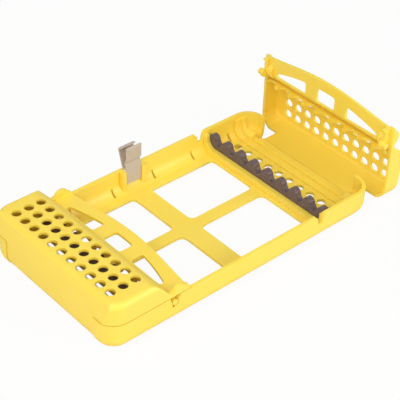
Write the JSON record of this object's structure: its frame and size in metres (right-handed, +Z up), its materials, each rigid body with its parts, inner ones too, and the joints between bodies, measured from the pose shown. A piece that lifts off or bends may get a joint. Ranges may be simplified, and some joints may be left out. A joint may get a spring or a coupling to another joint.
{
  "type": "instrument cassette",
  "caption": "Open tray case with windows in its floor, a hinged perforated snap-down cover at each end, scalloped soft rails that hold instruments apart, and a clip on the back wall.",
  "frame": {"origin": "centre of the tray's plan, on the table that it stands on", "axes": "+X along the case towards the cover that is shown open, +Y across it towards the wall with the clip, +Z up"},
  "size_m": [0.2289, 0.1147, 0.0608],
  "materials": {
    "yellow_plastic": "moulded, soft sheen",
    "silicone": "matt silicone",
    "grey_plastic": "moulded, satin"
  },
  "bodies": {
    "case": {"tray": "yellow_plastic", "rail_left": "silicone", "rail_right": "silicone", "clip": "grey_plastic"},
    "left_cover": {"cover_left": "yellow_plastic"},
    "right_cover": {"cover_right": "yellow_plastic"}
  },
  "joints": [
    {"name": "left_cover_hinge", "type": "hinge", "parent": "case", "child": "left_cover", "pos_m": [-0.09734, 0, 0.00366], "axis": [0, -1, 0], "range_deg": [0, 90]},
    {"name": "right_cover_hinge", "type": "hinge", "parent": "case", "child": "right_cover", "pos_m": [0.09734, 0, 0.00366], "axis": [0, 1, 0], "range_deg": [-90, 0]}
  ]
}
